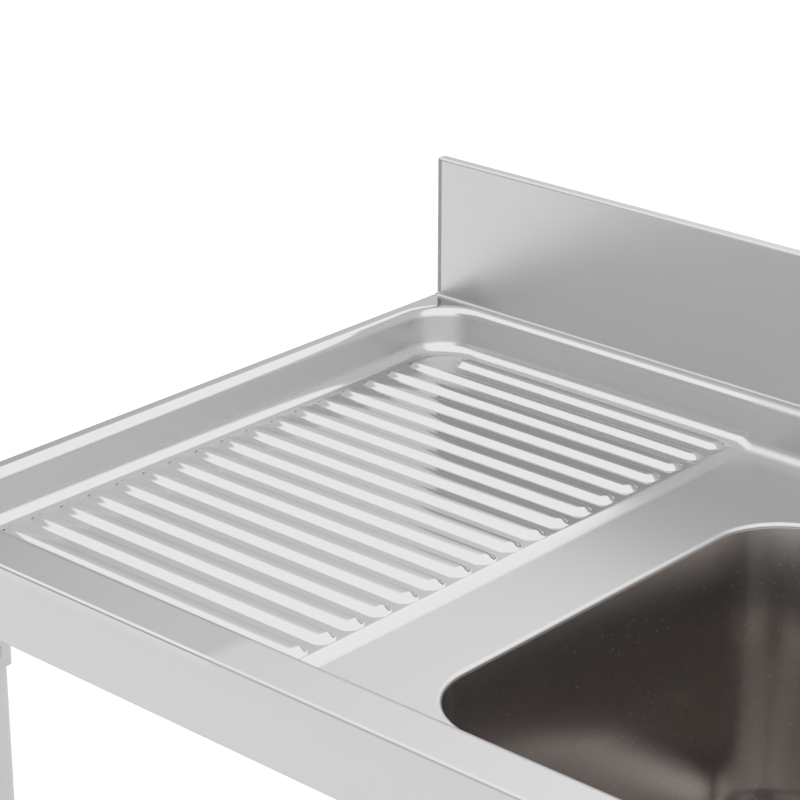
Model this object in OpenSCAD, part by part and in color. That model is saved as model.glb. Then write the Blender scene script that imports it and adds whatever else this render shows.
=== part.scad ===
// Catering sink table in stainless steel: a pressed top with a ribbed drainer on the left and a bowl on
// the right, a splashback along the back, and a frame of square tubes on four screw feet.
// The origin is on the floor under the middle of the table. X runs along the splashback towards the bowl,
// and +Y points to the wall.

/* [Table] */
// Length of the top along the wall
top_l = 1000; // [960:10:1200]
// Depth of the top from front to wall, the splashback included
top_d = 600; // [590:5:700]
// Height of the rim above the floor
top_h = 850; // [780:5:950]
// Thickness of every folded or pressed sheet
sheet = 1.2; // [0.8:0.1:1.5]

/* [Splashback] */
// Height of the splashback above the rim
splash_h = 120; // [60:5:200]
// Depth of the folded splashback
splash_t = 10; // [8:1:20]
// How far each end of the splashback stands in from the end of the top
splash_inset = 2.6; // [0.5:0.1:6]
// Radius of the bend at the ends of the splashback
splash_r = 3; // [2:0.5:3.5]
// Height of the hem on the back of the splashback
splash_hem = 20; // [10:1:40]

/* [Tray] */
// Rim from the end of the top to the wall of the tray
side_rim = 15; // [14:1:20]
// Rim from the splashback to the wall of the tray
back_rim = 12; // [9:1:16]
// Rim from the front edge to the wall of the tray
front_rim = 43; // [20:1:60]
// Radius of the bend between the rim and the wall of the tray
shoulder_r = 5; // [3:0.5:6]
// Depth of the plain floor of the tray below the rim
tray_depth = 41; // [36:1:44]
// Radius between the wall and the floor of the tray
tray_foot_r = 10; // [5:1:14]
// Lean of the walls of the tray, in degrees
tray_draft = 3; // [1:1:6]
// Radius of the corners of the tray, seen from above
tray_corner_r = 60; // [45:5:70]
// Height of the lip that is turned down round the top
lip_h = 12; // [6:1:20]

/* [Drainer] */
// Distance from one rib to the next
rib_pitch = 27.25; // [24:0.25:27.5]
// Width of a rib
rib_w = 20; // [14:1:22]
// Height of a rib
rib_h = 4; // [3:0.5:5]
// Gap between the wall of the tray and the rounded left ends of the ribs
rib_gap = 15; // [12:1:20]
// Gap between the right ends of the ribs and the ramp
ramp_gap = 1; // [1:0.5:8]
// Height of the ribbed floor above the plain floor
drainer_rise = 4; // [2:0.5:6]
// Length of the ramp from the ribbed floor to the plain floor
ramp_l = 12; // [6:1:20]

/* [Bowl] */
// Length of the bowl opening
bowl_l = 490; // [400:10:520]
// Depth of the bowl below the floor of the tray
bowl_depth = 250; // [200:10:300]
// Plain floor between the ramp and the bowl
bowl_gap = 73; // [60:1:80]
// Plain floor between the bowl and the right end wall of the tray
bowl_end_gap = 82; // [76:1:110]
// Plain floor between the bowl and the front wall of the tray
bowl_front_gap = 40; // [36:1:50]
// Plain floor behind the bowl, where the tap stands
tap_deck = 72; // [70:1:90]
// Radius of the corners of the bowl, seen from above
bowl_corner_r = 60; // [45:5:80]
// Radius between the wall and the floor of the bowl
bowl_foot_r = 35; // [20:5:40]
// Lean of the walls of the bowl, in degrees
bowl_draft = 1; // [1:1:4]
// Width of the flange that is welded below the floor of the tray
bowl_flange = 10; // [6:1:14]
// Radius of the tap hole
tap_r = 17.5; // [14:0.5:18]
// Thickness of the stiffening plate under the tap hole
tap_plate_t = 2.5; // [1.5:0.5:4]
// Side of the stiffening plate under the tap hole
tap_plate_w = 56; // [50:1:58]
// Thickness of the damping pad under the bowl
pad_t = 3; // [2:0.5:5]
// Side of the square damping pad
pad_w = 260; // [180:10:300]

/* [Waste] */
// Radius of the threaded shank that holds the back nut
shank_r = 24.5; // [24:0.5:28]
// Radius of the threaded outlet below the shank
outlet_r = 24; // [22.5:0.5:24]
// Length of the outlet
outlet_l = 40; // [25:1:80]
// Radius of the flange of the outlet
waste_flange_r = 42; // [38:1:50]
// Thickness of the flange of the outlet
waste_flange_t = 3; // [2:0.5:4]
// Thickness of the rubber gasket
gasket_t = 1.5; // [1:0.5:3]
// Radius of the socket that the standpipe plugs into
seat_r = 20; // [18.5:0.1:20.5]
// Depth of the socket
seat_depth = 26; // [20:1:34]
// Height of the standpipe above the floor of the bowl
standpipe_h = 190; // [120:5:230]
// Outer radius of the standpipe
standpipe_r = 16; // [14:0.5:16.5]
// Wall of the standpipe
standpipe_wall = 1.2; // [1:0.1:2]

/* [Frame] */
// Height of the skirt below the top sheet
skirt_h = 58.8; // [55:0.1:90]
// Width of the upper flange of the skirt
skirt_top = 8; // [5:1:10]
// Width of the lower flange of the skirt
skirt_bottom = 25; // [20:1:30]
// Side of a leg tube
leg_w = 40; // [35:1:45]
// Wall of a leg tube
leg_wall = 1.5; // [1:0.1:2.5]
// Distance from the edges of the top to the middle of a leg
leg_inset = 42; // [41:1:48]
// Side of the plate on top of a leg socket
socket_plate = 80; // [70:1:80]
// Thickness of the plate on top of a leg socket
socket_plate_t = 3; // [2:0.5:5]
// Wall of a leg socket
socket_wall = 2.5; // [2:0.5:4]
// Length of a leg socket
socket_h = 60; // [40:5:80]
// Side of a rail tube
rail_w = 30; // [25:1:34]
// Wall of a rail tube
rail_wall = 1.5; // [1:0.1:2.5]
// Height of the middle of the rails above the floor
rail_z = 180; // [130:5:300]
// Radius of the socket screws and the rail bolts
bolt_r = 4; // [3:0.5:5]

/* [Feet] */
// Height of the underside of the leg plugs above the floor
foot_h = 45; // [43:1:60]
// Radius of a foot pad
foot_pad_r = 25; // [18:1:30]
// Height of a foot pad
foot_pad_h = 14; // [12:1:18]
// Radius of the spindle thread
spindle_r = 6; // [5:0.5:8]
// Length of the spindle above its hexagon
spindle_l = 75; // [60:1:90]
// Height of the hexagon of the spindle
hexagon_h = 8; // [6:1:12]
// Length of the plug inside the leg
plug_l = 36; // [25:1:50]

/* [Hidden] */
$fn = 48;

// Clearance of a fastener in its hole, of a tube in its socket, and of a turning or sliding fit
hole_gap = 0.3;
socket_gap = 0.5;
plug_gap = 0.2;
running_gap = 0.05;
// Overlap of a cutter past the face that it cuts
eps = 1;

steel = "silver";
satin = "lightgray";
dull = "darkgray";
black = "dimgray";

// Places along X. The bowl keeps its place at the right end, and the ribs take what is left of the length.
left_end = -top_l / 2;
tray_left = left_end + side_rim;
tray_right = -left_end - side_rim;
bowl_left = tray_right - bowl_end_gap - bowl_l;
bowl_x = bowl_left + bowl_l / 2;
ramp_right = bowl_left - bowl_gap;
ramp_left = ramp_right - ramp_l;
rib_left = tray_left + rib_gap;
rib_l = ramp_left - ramp_gap - rib_left;

// Places along Y
back_edge = top_d / 2;
splash_face = back_edge - splash_t;
tray_back = splash_face - back_rim;
tray_front = -back_edge + front_rim;
tray_y = (tray_back + tray_front) / 2;
tray_x = (tray_left + tray_right) / 2;

// Heights
deck_z = top_h - tray_depth;
drainer_z = deck_z + drainer_rise;
bowl_floor_z = deck_z - bowl_depth;
skirt_z = top_h - sheet - skirt_h;
leg_top_z = skirt_z - socket_plate_t;
leg_bottom_z = foot_h + leg_wall * 2;

// The inner edge of the flat floor of the tray, in from the top of its wall
function foot_inset(shoulder, depth, foot, draft) =
    ((depth - foot * (1 - sin(draft)) - shoulder * (1 - sin(draft))) * tan(draft)) + foot * cos(draft);
tray_foot = foot_inset(shoulder_r, tray_depth, tray_foot_r, tray_draft);

// The bowl and the ribs take what is left of the depth of the tray
floor_w = tray_back - tray_front - 2 * tray_foot;
rib_count = floor((floor_w - rib_w) / rib_pitch) + 1;
bowl_w = floor_w - bowl_front_gap - tap_deck;
bowl_y = tray_front + tray_foot + bowl_front_gap + bowl_w / 2;
tap_y = tray_back - tray_foot - (tap_deck - bowl_flange) / 2;

// Points of an arc in a profile
function arc(centre, r, from, to, steps = 8) = [
    for (i = [0:steps])
        let (a = from + (to - from) * i / steps)
        centre + r * [cos(a), sin(a)]
];

// Profile of the wall of a pressed vessel, from its rim down to its floor. The first value is the distance
// from the centre of a corner, and the second counts down from the rim. The outer face of the sheet lies
// one sheet further out.
function vessel_profile(corner, shoulder, depth, foot, draft, out) = concat(
    arc([corner + shoulder * cos(draft), -shoulder], shoulder - out, 90, 180 - draft),
    arc([corner - foot_inset(shoulder, depth, foot, draft), foot - depth], foot + out, -draft, -90)
);

// One vessel filled to its inner face (out = 0) or to its outer face (out = sheet), and on above its rim
module vessel(half_x, half_y, corner, shoulder, depth, foot, draft, out, above) {
    profile = vessel_profile(corner, shoulder, depth, foot, draft, out);
    rim_r = profile[0][0];
    filled = concat([[0, -depth - out], [0, above], [rim_r, above]], profile);
    for (k = [0:3]) {
        half = k % 2 == 0 ? [half_x, half_y] : [half_y, half_x];
        rotate(90 * k)
            translate([half[0] - corner, half[1] - corner, 0]) {
                rotate_extrude(angle = 90)
                    polygon(filled);
                rotate([90, 0, 0])
                    linear_extrude(2 * (half[1] - corner))
                        polygon(filled);
            }
    }
    translate([-half_x + corner, -half_y + corner, -depth - out])
        cube([2 * (half_x - corner), 2 * (half_y - corner), depth + out + above]);
}

// A flat rectangle with round corners
module rounded(half_x, half_y, r) {
    square([2 * half_x, 2 * (half_y - r)], center = true);
    square([2 * (half_x - r), 2 * half_y], center = true);
    for (x = [-1, 1], y = [-1, 1])
        translate([x * (half_x - r), y * (half_y - r)])
            circle(r);
}

// All that lies above the ramp and the plain floor
module above_ramp(drop) {
    translate([0, back_edge, 0])
        rotate([90, 0, 0])
            linear_extrude(top_d)
                polygon([
                    [ramp_left, drainer_z - drop], [ramp_right, deck_z - drop], [-left_end, deck_z - drop],
                    [-left_end, top_h + 2 * eps], [ramp_left, top_h + 2 * eps]
                ]);
}

module tray_vessel(depth, out, above) {
    translate([tray_x, tray_y, top_h])
        vessel((tray_right - tray_left) / 2, (tray_back - tray_front) / 2, tray_corner_r,
               shoulder_r, depth, tray_foot_r, tray_draft, out, above);
}

// The tray is a little deeper to the right of the ribs
module tray(out, above) {
    tray_vessel(tray_depth - drainer_rise, out, above);
    intersection() {
        tray_vessel(tray_depth, out, above);
        above_ramp(out);
    }
}

// The round beads of the drainer. Each is the top of a lying cylinder with round ends.
module beads(shrink) {
    bead_r = (rib_w * rib_w / 4 + rib_h * rib_h) / (2 * rib_h);
    first_y = tray_y - (rib_count - 1) / 2 * rib_pitch;
    for (i = [0:rib_count - 1])
        translate([rib_left + rib_w / 2, first_y + i * rib_pitch, drainer_z + rib_h - bead_r]) {
            rotate([0, 90, 0]) {
                cylinder(r = bead_r - shrink, h = rib_l - rib_w);
                sphere(bead_r - shrink);
                translate([0, 0, rib_l - rib_w])
                    sphere(bead_r - shrink);
            }
        }
}

module worktop() {
    color(steel)
        difference() {
            union() {
                translate([0, 0, top_h - sheet])
                    linear_extrude(sheet)
                        square([top_l, top_d], center = true);
                translate([0, 0, top_h - lip_h])
                    linear_extrude(lip_h)
                        difference() {
                            square([top_l, top_d], center = true);
                            square([top_l - 2 * sheet, top_d - 2 * sheet], center = true);
                        }
                tray(sheet, 0);
                intersection() {
                    beads(0);
                    translate([rib_left, tray_front, drainer_z - sheet / 2])
                        cube([rib_l, tray_back - tray_front, rib_h + sheet]);
                }
            }
            difference() {
                tray(0, eps);
                intersection() {
                    beads(0);
                    translate([rib_left, tray_front, drainer_z - sheet])
                        cube([rib_l, tray_back - tray_front, rib_h + 2 * sheet]);
                }
            }
            beads(sheet);
            translate([bowl_x, bowl_y, deck_z - sheet - eps])
                linear_extrude(sheet + 2 * eps)
                    rounded(bowl_l / 2, bowl_w / 2, bowl_corner_r);
            translate([bowl_x, tap_y, deck_z - sheet - eps])
                cylinder(r = tap_r, h = sheet + 2 * eps);
        }
}

// Folded sheet, open at the back and below, with closed ends
module splashback() {
    length = top_l - 2 * splash_inset;
    color(satin)
        translate([0, splash_face + splash_t / 2, top_h])
            difference() {
                linear_extrude(splash_h)
                    rounded(length / 2, splash_t / 2, splash_r);
                translate([0, 0, -eps])
                    linear_extrude(splash_h - sheet + eps)
                        rounded(length / 2 - sheet, splash_t / 2 - sheet, splash_r - sheet);
                translate([-length / 2 + splash_r, splash_t / 2 - sheet - eps, -eps])
                    cube([length - 2 * splash_r, sheet + 2 * eps, splash_h - splash_hem + eps]);
            }
}

// Depth of the seat that is pressed round the outlet hole
seat_drop = gasket_t + waste_flange_t;
seat_z = bowl_floor_z - seat_drop;
seat_gap = 1;
outlet_hole_r = shank_r + 1;

// The bowl below its flange. Its walls start straight down at the cut edge of the tray.
module bowl_form(out, above) {
    depth = bowl_depth - sheet;
    half = [bowl_l / 2, bowl_w / 2];
    lean = (depth - bowl_foot_r * (1 - sin(bowl_draft))) * tan(bowl_draft);
    centre = bowl_corner_r - lean - bowl_foot_r * cos(bowl_draft);
    wall = concat(
        [[bowl_corner_r + out, 0]],
        arc([centre, bowl_foot_r - depth], bowl_foot_r + out, -bowl_draft, -90)
    );
    filled = concat([[0, -depth - out], [0, above], [bowl_corner_r + out, above]], wall);
    for (k = [0:3]) {
        side = k % 2 == 0 ? half : [half[1], half[0]];
        rotate(90 * k)
            translate([side[0] - bowl_corner_r, side[1] - bowl_corner_r, 0]) {
                rotate_extrude(angle = 90)
                    polygon(filled);
                rotate([90, 0, 0])
                    linear_extrude(2 * (side[1] - bowl_corner_r))
                        polygon(filled);
            }
    }
    translate([-half[0] + bowl_corner_r, -half[1] + bowl_corner_r, -depth - out])
        cube([2 * (half[0] - bowl_corner_r), 2 * (half[1] - bowl_corner_r), depth + out + above]);
}

module bowl() {
    mouth_z = deck_z - sheet;
    color(satin)
        difference() {
            union() {
                translate([bowl_x, bowl_y, mouth_z - sheet])
                    linear_extrude(sheet)
                        rounded(bowl_l / 2 + bowl_flange, bowl_w / 2 + bowl_flange,
                                bowl_corner_r + bowl_flange);
                translate([bowl_x, bowl_y, mouth_z])
                    bowl_form(sheet, 0);
                translate([bowl_x, bowl_y, seat_z - sheet])
                    cylinder(r = waste_flange_r + seat_gap + sheet, h = seat_drop + sheet);
            }
            translate([bowl_x, bowl_y, mouth_z])
                bowl_form(0, eps);
            translate([bowl_x, bowl_y, seat_z])
                cylinder(r = waste_flange_r + seat_gap, h = seat_drop + eps);
            translate([bowl_x, bowl_y, seat_z - sheet - eps])
                cylinder(r = outlet_hole_r, h = sheet + 2 * eps);
        }
}

// Folded channel of the skirt. Its web faces -Y, and its length runs along X from the origin.
// The flanges stop short of both ends of the web, so that four channels meet in a corner.
module skirt(length, bottom_short, top_short) {
    cube([length, sheet, skirt_h]);
    translate([bottom_short, 0, 0])
        cube([length - 2 * bottom_short, skirt_bottom, sheet]);
    translate([top_short, 0, skirt_h - sheet])
        cube([length - 2 * top_short, skirt_top, sheet]);
}

// The skirt stands just inside the lip of the top
skirt_in = sheet + plug_gap;
skirt_half_x = top_l / 2 - skirt_in;
skirt_half_y = top_d / 2 - skirt_in;

module skirt_front() {
    color(satin)
        translate([-skirt_half_x, -skirt_half_y, skirt_z])
            skirt(2 * skirt_half_x, sheet, sheet);
}

module skirt_back() {
    color(satin)
        rotate(180)
            translate([-skirt_half_x, -skirt_half_y, skirt_z])
                skirt(2 * skirt_half_x, sheet, sheet);
}

module skirt_side() {
    side_l = 2 * (skirt_half_y - sheet);
    color(satin)
        rotate(-90)
            translate([-side_l / 2, -skirt_half_x, skirt_z])
                skirt(side_l, skirt_bottom - sheet, skirt_top - sheet);
}

module skirt_left() {
    skirt_side();
}

module skirt_right() {
    rotate(180)
        skirt_side();
}

// Hat channel from the front skirt to the back skirt, between their lower flanges and the floor of the tray
channel_w = 30;
channel_brim = 12;
module hat_channel(x, top_z) {
    bottom_z = skirt_z + sheet;
    height = top_z - bottom_z;
    length = 2 * (skirt_half_y - sheet);
    half = channel_w / 2;
    color(satin)
        translate([x, length / 2, bottom_z])
            rotate([90, 0, 0])
                linear_extrude(length)
                    polygon([
                        [-half - channel_brim, 0], [-half + sheet, 0], [-half + sheet, height - sheet],
                        [half - sheet, height - sheet], [half - sheet, 0], [half + channel_brim, 0],
                        [half + channel_brim, sheet], [half, sheet], [half, height],
                        [-half, height], [-half, sheet], [-half - channel_brim, sheet]
                    ]);
}

module drainer_channel_left() {
    hat_channel(rib_left + rib_l / 3, drainer_z - sheet);
}

module drainer_channel_right() {
    hat_channel(rib_left + rib_l * 2 / 3, drainer_z - sheet);
}

module deck_channel_left() {
    hat_channel((ramp_right + bowl_left - bowl_flange) / 2, deck_z - sheet);
}

module deck_channel_right() {
    hat_channel((bowl_left + bowl_l + bowl_flange + tray_right - tray_foot) / 2, deck_z - sheet);
}

module tap_plate() {
    color(dull)
        translate([bowl_x, tap_y, deck_z - sheet - tap_plate_t])
            linear_extrude(tap_plate_t)
                difference() {
                    square(tap_plate_w, center = true);
                    circle(tap_r);
                }
}

// Bitumen pad with a round hole for the outlet
pad_hole_gap = 10;
module damping_pad() {
    color(black)
        translate([bowl_x, bowl_y, bowl_floor_z - sheet - pad_t])
            linear_extrude(pad_t)
                difference() {
                    square(pad_w, center = true);
                    circle(waste_flange_r + seat_gap + pad_hole_gap);
                }
}

// Height of the flange seat of the outlet, and of the nut and the shank below the bowl
washer_t = 2;
washer_r = waste_flange_r - 2;
nut_t = 11;
nut_collar_t = 3;
nut_r = shank_r + 10;
nut_z = seat_z - sheet - washer_t - nut_t;
shank_z = nut_z - 4;
flange_z = seat_z + gasket_t;
socket_floor_z = flange_z + waste_flange_t - seat_depth;
ledge_r = standpipe_r - 1;
outlet_wall = 2.4;

// Turned outlet with a flange. The standpipe rests on the ledge at the bottom of its socket.
module waste_body() {
    bottom_z = shank_z - outlet_l;
    bore_top_z = socket_floor_z - outlet_wall;
    color(steel)
        translate([bowl_x, bowl_y, 0]) {
            difference() {
                union() {
                    translate([0, 0, flange_z])
                        cylinder(r = waste_flange_r, h = waste_flange_t);
                    translate([0, 0, shank_z])
                        cylinder(r = shank_r, h = flange_z - shank_z + eps);
                    translate([0, 0, bottom_z])
                        cylinder(r = outlet_r, h = outlet_l + eps);
                }
                translate([0, 0, socket_floor_z])
                    cylinder(r = seat_r, h = seat_depth + eps);
                translate([0, 0, bottom_z - eps])
                    cylinder(r = outlet_r - outlet_wall, h = bore_top_z - bottom_z + eps);
                translate([0, 0, bore_top_z - eps])
                    cylinder(r = ledge_r, h = outlet_wall + 2 * eps);
            }
        }
}

module ring(r_out, r_in, z, h) {
    translate([bowl_x, bowl_y, z])
        difference() {
            cylinder(r = r_out, h = h);
            translate([0, 0, -eps])
                cylinder(r = r_in, h = h + 2 * eps);
        }
}

module waste_gasket() {
    color(black)
        ring(waste_flange_r, shank_r + hole_gap, seat_z, gasket_t);
}

module waste_washer() {
    color(black)
        ring(washer_r, shank_r + hole_gap, seat_z - sheet - washer_t, washer_t);
}

// Hexagon back nut
module waste_nut() {
    color(dull)
        translate([bowl_x, bowl_y, nut_z])
            difference() {
                union() {
                    cylinder(r = nut_r, h = nut_t, $fn = 6);
                    translate([0, 0, nut_t - nut_collar_t])
                        cylinder(r = nut_r, h = nut_collar_t);
                }
                translate([0, 0, -eps])
                    cylinder(r = shank_r + running_gap, h = nut_t + 2 * eps);
            }
}

// The standpipe stands on the ledge of its socket, and has a thicker rim to lift it by
standpipe_rim_t = 3;
standpipe_rim_h = 10;
module standpipe() {
    length = standpipe_h + bowl_floor_z - socket_floor_z;
    color(steel)
        translate([bowl_x, bowl_y, socket_floor_z])
            difference() {
                union() {
                    cylinder(r = standpipe_r, h = length);
                    translate([0, 0, length - standpipe_rim_h])
                        cylinder(r = standpipe_r + standpipe_rim_t, h = standpipe_rim_h);
                }
                translate([0, 0, -eps])
                    cylinder(r = standpipe_r - standpipe_wall, h = length + 2 * eps);
            }
}

// Rubber ring round the foot of the standpipe, tapered to find its socket
seal_h = 20;
seal_foot_r = seat_r - 1.6;
seal_taper_h = 14;
seal_shoulder_h = 18;
module standpipe_seal() {
    color(black)
        translate([bowl_x, bowl_y, socket_floor_z])
            rotate_extrude()
                polygon([
                    [standpipe_r, 0], [seal_foot_r, 0], [seat_r - hole_gap, seal_taper_h],
                    [seat_r - hole_gap, seal_shoulder_h], [standpipe_r, seal_h]
                ]);
}

// Middle of the leg on side x (-1 left, 1 right) and y (-1 front, 1 rear)
function leg_at(x, y) = [x * (top_l / 2 - leg_inset), y * (top_d / 2 - leg_inset), 0];

module square_tube(side, wall, length) {
    linear_extrude(length)
        difference() {
            square(side, center = true);
            square(side - 2 * wall, center = true);
        }
}

// The two screws of a socket, one above the other, in the wall that faces the middle of the table
screw_spacing = 24;
function screw_heights() = [
    for (k = [-1, 1])
        leg_top_z - socket_h / 2 + k * screw_spacing / 2
];
socket_half = leg_w / 2 + socket_gap + socket_wall;

module leg_socket(x, y) {
    color(dull)
        translate(leg_at(x, y))
            difference() {
                union() {
                    translate([-socket_plate / 2, -socket_plate / 2, leg_top_z])
                        cube([socket_plate, socket_plate, socket_plate_t]);
                    translate([0, 0, leg_top_z - socket_h])
                        square_tube(2 * socket_half, socket_wall, socket_h);
                }
                for (z = screw_heights())
                    translate([0, 0, z])
                        rotate([0, -90 * x, 0])
                            cylinder(r = bolt_r + hole_gap, h = socket_half + eps);
            }
}

module leg_socket_front_left() {
    leg_socket(-1, -1);
}

module leg_socket_front_right() {
    leg_socket(1, -1);
}

module leg_socket_rear_left() {
    leg_socket(-1, 1);
}

module leg_socket_rear_right() {
    leg_socket(1, 1);
}

// Screws with hexagon heads, their tips on the leg
head_t = 5.3;
head_r = bolt_r * 1.88;
standoff = 2;
module socket_screws() {
    color(dull)
        for (x = [-1, 1], y = [-1, 1], z = screw_heights())
            translate(leg_at(x, y) + [0, 0, z])
                rotate([0, -90 * x, 0]) {
                    translate([0, 0, leg_w / 2])
                        cylinder(r = bolt_r, h = socket_half - leg_w / 2 + standoff);
                    translate([0, 0, socket_half + standoff])
                        cylinder(r = head_r, h = head_t, $fn = 6);
                }
}

module leg(x, y) {
    color(satin)
        translate(leg_at(x, y))
            difference() {
                translate([0, 0, leg_bottom_z])
                    square_tube(leg_w, leg_wall, leg_top_z - leg_bottom_z);
                if (y > 0)
                    translate([-leg_w, 0, rail_z])
                        rotate([0, 90, 0])
                            cylinder(r = bolt_r + hole_gap, h = 2 * leg_w);
            }
}

module leg_front_left() {
    leg(-1, -1);
}

module leg_front_right() {
    leg(1, -1);
}

module leg_rear_left() {
    leg(-1, 1);
}

module leg_rear_right() {
    leg(1, 1);
}

// Rail welded between the front leg and the rear leg of one side
module side_rail(x) {
    span = top_d - 2 * leg_inset - leg_w;
    color(satin)
        translate([leg_at(x, 1)[0], span / 2, rail_z])
            rotate([90, 0, 0])
                square_tube(rail_w, rail_wall, span);
}

module rail_left() {
    side_rail(-1);
}

module rail_right() {
    side_rail(1);
}

rail_back_l = top_l - 2 * leg_inset - leg_w;
module rail_back() {
    color(satin)
        translate([-rail_back_l / 2, leg_at(1, 1)[1], rail_z])
            rotate([0, 90, 0])
                square_tube(rail_w, rail_wall, rail_back_l);
}

// Threaded plugs in the two ends of the back rail
rail_plug_l = 25;
bolt_short = 3;
module rail_plugs() {
    side = rail_w - 2 * rail_wall - 2 * plug_gap;
    color(dull)
        for (x = [0, 1])
            mirror([x, 0, 0])
                translate([rail_back_l / 2 - rail_plug_l, leg_at(1, 1)[1], rail_z])
                    rotate([0, 90, 0])
                        linear_extrude(rail_plug_l)
                            difference() {
                                square(side, center = true);
                                circle(bolt_r + running_gap);
                            }
}

// Bolts through the rear legs into the plugs
module rail_bolts() {
    length = leg_w + rail_plug_l - bolt_short;
    color(dull)
        for (x = [0, 1])
            mirror([x, 0, 0])
                translate([rail_back_l / 2 + leg_w - length, leg_at(1, 1)[1], rail_z])
                    rotate([0, 90, 0]) {
                        cylinder(r = bolt_r, h = length);
                        translate([0, 0, length])
                            cylinder(r = head_r, h = head_t, $fn = 6);
                    }
}

// Plastic plug with a collar, in the lower end of a leg
module foot_insert(x, y) {
    side = leg_w - 2 * leg_wall - 2 * plug_gap;
    color(black)
        translate(leg_at(x, y) + [0, 0, foot_h])
            difference() {
                union() {
                    translate([-leg_w / 2, -leg_w / 2, 0])
                        cube([leg_w, leg_w, leg_bottom_z - foot_h]);
                    translate([-side / 2, -side / 2, 0])
                        cube([side, side, leg_bottom_z - foot_h + plug_l]);
                }
                translate([0, 0, -eps])
                    cylinder(r = spindle_r + running_gap, h = plug_l + leg_bottom_z + 2 * eps);
            }
}

module foot_insert_front_left() {
    foot_insert(-1, -1);
}

module foot_insert_front_right() {
    foot_insert(1, -1);
}

module foot_insert_rear_left() {
    foot_insert(-1, 1);
}

module foot_insert_rear_right() {
    foot_insert(1, 1);
}

// Spindle with a hexagon for the spanner and a journal that turns in the pad
journal_r = 5;
journal_z = 4;
hexagon_r = spindle_r + 5;
module foot_spindle(x, y) {
    color(dull)
        translate(leg_at(x, y)) {
            translate([0, 0, journal_z + hole_gap])
                cylinder(r = journal_r, h = foot_pad_h - journal_z);
            translate([0, 0, foot_pad_h])
                cylinder(r = hexagon_r, h = hexagon_h, $fn = 6);
            translate([0, 0, foot_pad_h + hexagon_h - eps])
                cylinder(r = spindle_r, h = spindle_l + eps);
        }
}

module foot_spindle_front_left() {
    foot_spindle(-1, -1);
}

module foot_spindle_front_right() {
    foot_spindle(1, -1);
}

module foot_spindle_rear_left() {
    foot_spindle(-1, 1);
}

module foot_spindle_rear_right() {
    foot_spindle(1, 1);
}

// Round pad with a boss and a blind hole for the journal
pad_edge = 1.5;
pad_side_h = 6;
boss_r = journal_r + 7;
boss_top_r = journal_r + 6;
boss_h = foot_pad_h - 4;
module foot_pad(x, y) {
    hole_r = journal_r + running_gap;
    color(black)
        translate(leg_at(x, y))
            rotate_extrude()
                polygon([
                    [0, 0], [foot_pad_r - pad_edge, 0], [foot_pad_r, pad_edge], [foot_pad_r, pad_side_h],
                    [boss_r, boss_h], [boss_top_r, foot_pad_h],
                    [hole_r, foot_pad_h], [hole_r, journal_z], [0, journal_z]
                ]);
}

module foot_pad_front_left() {
    foot_pad(-1, -1);
}

module foot_pad_front_right() {
    foot_pad(1, -1);
}

module foot_pad_rear_left() {
    foot_pad(-1, 1);
}

module foot_pad_rear_right() {
    foot_pad(1, 1);
}

worktop();
splashback();
bowl();
skirt_front();
skirt_back();
skirt_left();
skirt_right();
drainer_channel_left();
drainer_channel_right();
deck_channel_left();
deck_channel_right();
tap_plate();
damping_pad();
waste_body();
waste_gasket();
waste_washer();
waste_nut();
standpipe();
standpipe_seal();
leg_socket_front_left();
leg_socket_front_right();
leg_socket_rear_left();
leg_socket_rear_right();
leg_front_left();
leg_front_right();
leg_rear_left();
leg_rear_right();
socket_screws();
rail_left();
rail_right();
rail_back();
rail_plugs();
rail_bolts();
foot_insert_front_left();
foot_insert_front_right();
foot_insert_rear_left();
foot_insert_rear_right();
foot_spindle_front_left();
foot_spindle_front_right();
foot_spindle_rear_left();
foot_spindle_rear_right();
foot_pad_front_left();
foot_pad_front_right();
foot_pad_rear_left();
foot_pad_rear_right();
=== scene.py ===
from math import cos, hypot, pi, radians, sin, sqrt, tan

import bmesh
import bpy
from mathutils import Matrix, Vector


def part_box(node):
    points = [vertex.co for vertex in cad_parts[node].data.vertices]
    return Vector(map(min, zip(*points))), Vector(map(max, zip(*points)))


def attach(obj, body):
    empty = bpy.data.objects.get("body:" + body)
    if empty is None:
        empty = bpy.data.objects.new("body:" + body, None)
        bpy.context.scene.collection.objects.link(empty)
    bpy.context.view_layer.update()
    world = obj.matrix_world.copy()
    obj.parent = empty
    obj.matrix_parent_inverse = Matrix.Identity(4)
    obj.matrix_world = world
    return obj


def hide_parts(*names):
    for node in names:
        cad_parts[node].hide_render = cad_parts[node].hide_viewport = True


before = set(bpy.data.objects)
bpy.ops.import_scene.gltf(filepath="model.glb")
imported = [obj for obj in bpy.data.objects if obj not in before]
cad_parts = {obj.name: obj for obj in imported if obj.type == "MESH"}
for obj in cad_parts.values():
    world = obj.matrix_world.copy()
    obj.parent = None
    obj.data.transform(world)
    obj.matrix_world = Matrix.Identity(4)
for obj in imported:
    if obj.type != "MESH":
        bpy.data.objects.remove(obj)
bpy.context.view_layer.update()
scene = bpy.context.scene
bpy.ops.object.select_all(action="DESELECT")
mm = 0.001


# Camera: the close view of the back left corner, from the front right and 22 degrees above, with a long lens.
bpy.ops.object.camera_add(
    location=(0.96306, -1.36758, 1.65944),
    rotation=(radians(67.703), 0, radians(42.17)),
)
camera = bpy.context.object
camera.data.lens = 125.68
camera.data.sensor_width = 36
scene.camera = camera


# Pressed top: one sheet of 1.2 mm stainless steel, deep drawn into a tray with a ribbed drainer, a ramp and a
# plain deck. The rim is turned down all round and its corners are ground round. The ribs keep the soft mirror
# of the rolling mill, and the drawn walls and the deck are satin.
sheet = 1.2 * mm
splash_low, splash_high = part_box("splashback")
top_low, top_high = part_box("worktop")
rim_z = top_high.z
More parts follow.
